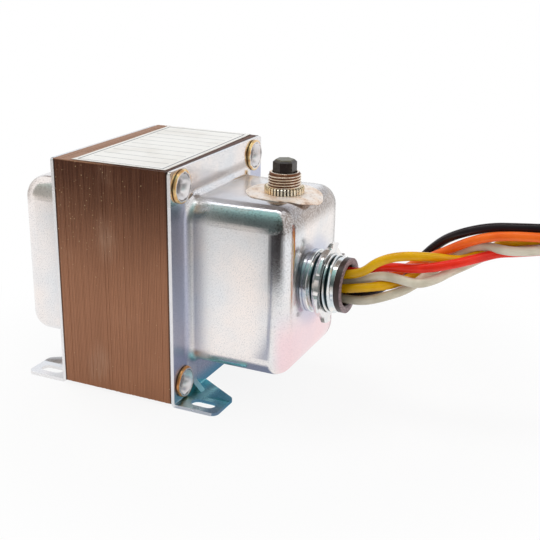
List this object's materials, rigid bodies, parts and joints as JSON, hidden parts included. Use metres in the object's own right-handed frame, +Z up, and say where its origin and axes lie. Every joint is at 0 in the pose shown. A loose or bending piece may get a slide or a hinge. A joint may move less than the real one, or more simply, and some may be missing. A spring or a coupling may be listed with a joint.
{
  "type": "control transformer",
  "caption": "Laminated control transformer between drawn steel end bells with slotted feet, a threaded hub with colour-coded leads and a push-to-reset breaker.",
  "frame": {"origin": "centre of the four foot slots, on the mounting plane under the feet", "axes": "+X along the core stack toward the threaded hub, +Y to the rear of the pictured view, +Z up from the feet"},
  "size_m": [0.2374, 0.0825, 0.0874],
  "materials": {
    "varnished_core": "brown dipping varnish over stacked sheet edges",
    "zinc_plate": "bright zinc plate",
    "eyelet_brass": "rolled brass, dull",
    "nylon": "natural nylon",
    "copper_wire": "enamelled copper wire",
    "yellow_tape": "insulating tape",
    "label_card": "coated label stock",
    "hub_zinc": "bright zinc, turned",
    "locknut_zinc": "bright zinc, stamped",
    "brown_plastic": "moulded brown plastic",
    "black_phenolic": "moulded phenolic",
    "tinned_brass": "tinned",
    "contact_silver": "silver alloy",
    "bimetal": "rolled strip",
    "nickel_brass": "nickel-plated thread",
    "nut_brass": "nickel-plated, fluted",
    "plate_brass": "thin sheet, bare",
    "black_plastic": "moulded, satin",
    "jumper_black": "PVC insulation",
    "yellow_pvc": "PVC insulation",
    "white_pvc": "PVC insulation",
    "red_pvc": "PVC insulation",
    "orange_pvc": "PVC insulation",
    "black_pvc": "PVC insulation",
    "bare_copper": "stripped strands"
  },
  "bodies": {
    "transformer": {"e_laminations": "varnished_core", "i_laminations": "varnished_core", "hub_end_bell": "zinc_plate", "plain_end_bell": "zinc_plate", "corner_eyelets": "eyelet_brass", "bobbin": "nylon", "primary_winding": "copper_wire", "secondary_winding": "copper_wire", "primary_wrap": "yellow_tape", "secondary_wrap": "yellow_tape", "top_label": "label_card", "hub_nipple": "hub_zinc", "hub_locknut": "locknut_zinc", "insulating_bushing": "brown_plastic", "breaker_case": "black_phenolic", "breaker_base": "black_phenolic", "breaker_terminals": "tinned_brass", "breaker_contacts": "contact_silver", "bimetal_blade": "bimetal", "breaker_neck": "nickel_brass", "breaker_nut": "nut_brass", "legend_plate": "plate_brass", "breaker_jumpers": "jumper_black", "lead_yellow_1": "yellow_pvc", "lead_yellow_2": "yellow_pvc", "lead_white_1": "white_pvc", "lead_white_2": "white_pvc", "lead_red": "red_pvc", "lead_orange": "orange_pvc", "lead_black": "black_pvc", "lead_tips": "bare_copper"},
    "reset_button": {"breaker_button": "black_plastic"}
  },
  "joints": [
    {"name": "reset_button_press", "type": "slide", "parent": "transformer", "child": "reset_button", "axis": [0, 0, 1], "range_m": [-0.002, 0.003], "stiffness_N_per_m": 600}
  ]
}
